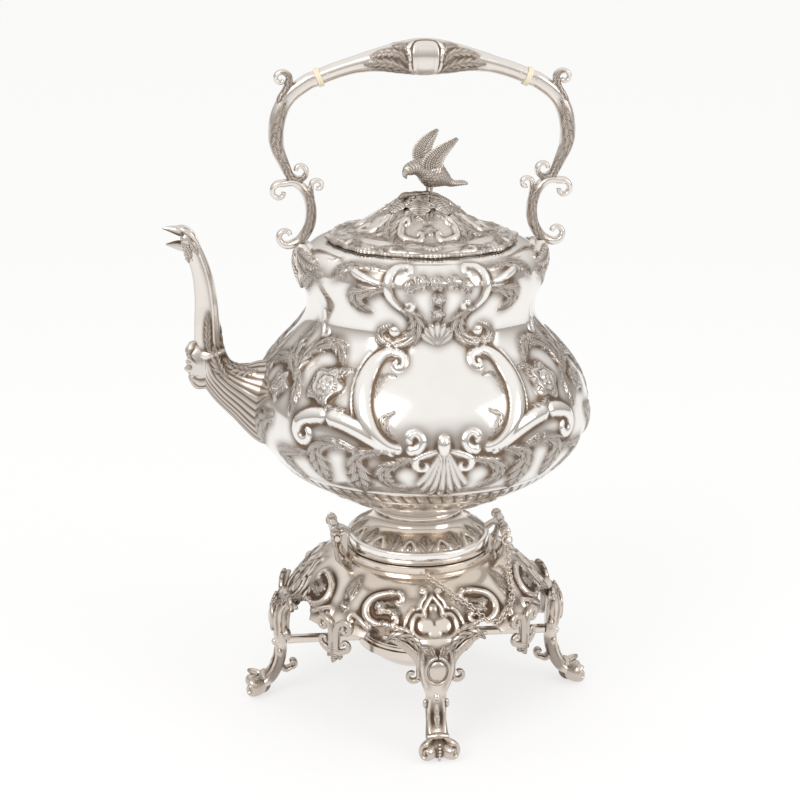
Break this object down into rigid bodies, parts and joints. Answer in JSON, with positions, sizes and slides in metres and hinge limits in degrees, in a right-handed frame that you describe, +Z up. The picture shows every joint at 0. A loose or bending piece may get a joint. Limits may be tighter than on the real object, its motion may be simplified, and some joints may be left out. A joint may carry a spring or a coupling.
{
  "type": "kettle on stand",
  "caption": "Repoussé silver table kettle with overhead scroll handle and bird finial, tipping on a chased four-legged stand with a spirit burner",
  "frame": {"origin": "on the kettle's axis at the level the feet stand on", "axes": "+Z up the kettle's axis, -X towards the spout, -Y towards the show side with the chained pin"},
  "size_m": [0.2753, 0.2284, 0.4302],
  "materials": {
    "silver": "raised and polished sterling silver with grey patina in the chasing",
    "cast_silver": "cast and chased silver, darker in its recesses",
    "ivory": "pale cream insulating discs",
    "wick_cotton": "woven cotton"
  },
  "bodies": {
    "stand": {"stand_ring": "silver", "stand_dome": "silver", "leg_right": "cast_silver", "leg_back": "cast_silver", "leg_left": "cast_silver", "leg_front": "cast_silver", "apron_drops": "cast_silver", "left_stand_knuckles": "silver", "right_stand_knuckles": "silver", "cradle_ring": "silver", "cradle_arms": "silver", "chain_eye": "silver", "chain": "silver"},
    "left_pin": {"left_pin": "silver", "left_pin_ring": "silver"},
    "right_pin": {"right_pin": "silver", "right_pin_ring": "silver"},
    "burner": {"burner_bowl": "silver", "burner_cover": "silver", "wick_collar": "silver", "wick_tube": "silver", "wick": "wick_cotton"},
    "snuffer": {"snuffer_cap": "silver"},
    "kettle": {"kettle_body": "silver", "kettle_foot": "silver", "foot_band": "silver", "left_kettle_knuckle": "silver", "right_kettle_hook": "silver", "spout": "cast_silver", "spout_tip": "cast_silver", "spout_mask": "cast_silver", "handle_grip": "silver", "insulators": "ivory", "handle_rivets": "silver", "handle_arm_left": "cast_silver", "handle_arm_right": "cast_silver", "handle_scroll_left": "cast_silver", "handle_scroll_right": "cast_silver", "handle_socket_left": "cast_silver", "handle_socket_right": "cast_silver", "lid_hinge_plate": "silver"},
    "lid": {"lid_dome": "silver", "lid_bezel": "silver", "lid_knuckle": "silver", "lid_hinge_pin": "silver", "finial_calyx": "cast_silver", "finial_bird": "cast_silver", "finial_nut": "silver"}
  },
  "joints": [
    {"name": "kettle_tilt", "type": "hinge", "parent": "stand", "child": "kettle", "pos_m": [-0.055, 0, 0.115], "axis": [0, -1, 0], "range_deg": [0, 50]},
    {"name": "lid_hinge", "type": "hinge", "parent": "kettle", "child": "lid", "pos_m": [0, 0.0615, 0.3095], "axis": [-1, 0, 0], "range_deg": [0, 100]},
    {"name": "left_pin_draw", "type": "slide", "parent": "stand", "child": "left_pin", "axis": [0, 1, 0], "range_m": [0, 0.042]},
    {"name": "right_pin_draw", "type": "slide", "parent": "stand", "child": "right_pin", "axis": [0, -1, 0], "range_m": [0, 0.042]},
    {"name": "burner_lift", "type": "slide", "parent": "stand", "child": "burner", "axis": [0, 0, 1], "range_m": [0, 0.02]},
    {"name": "cap_lift", "type": "slide", "parent": "burner", "child": "snuffer", "axis": [0, 0, 1], "range_m": [0, 0.012]}
  ]
}
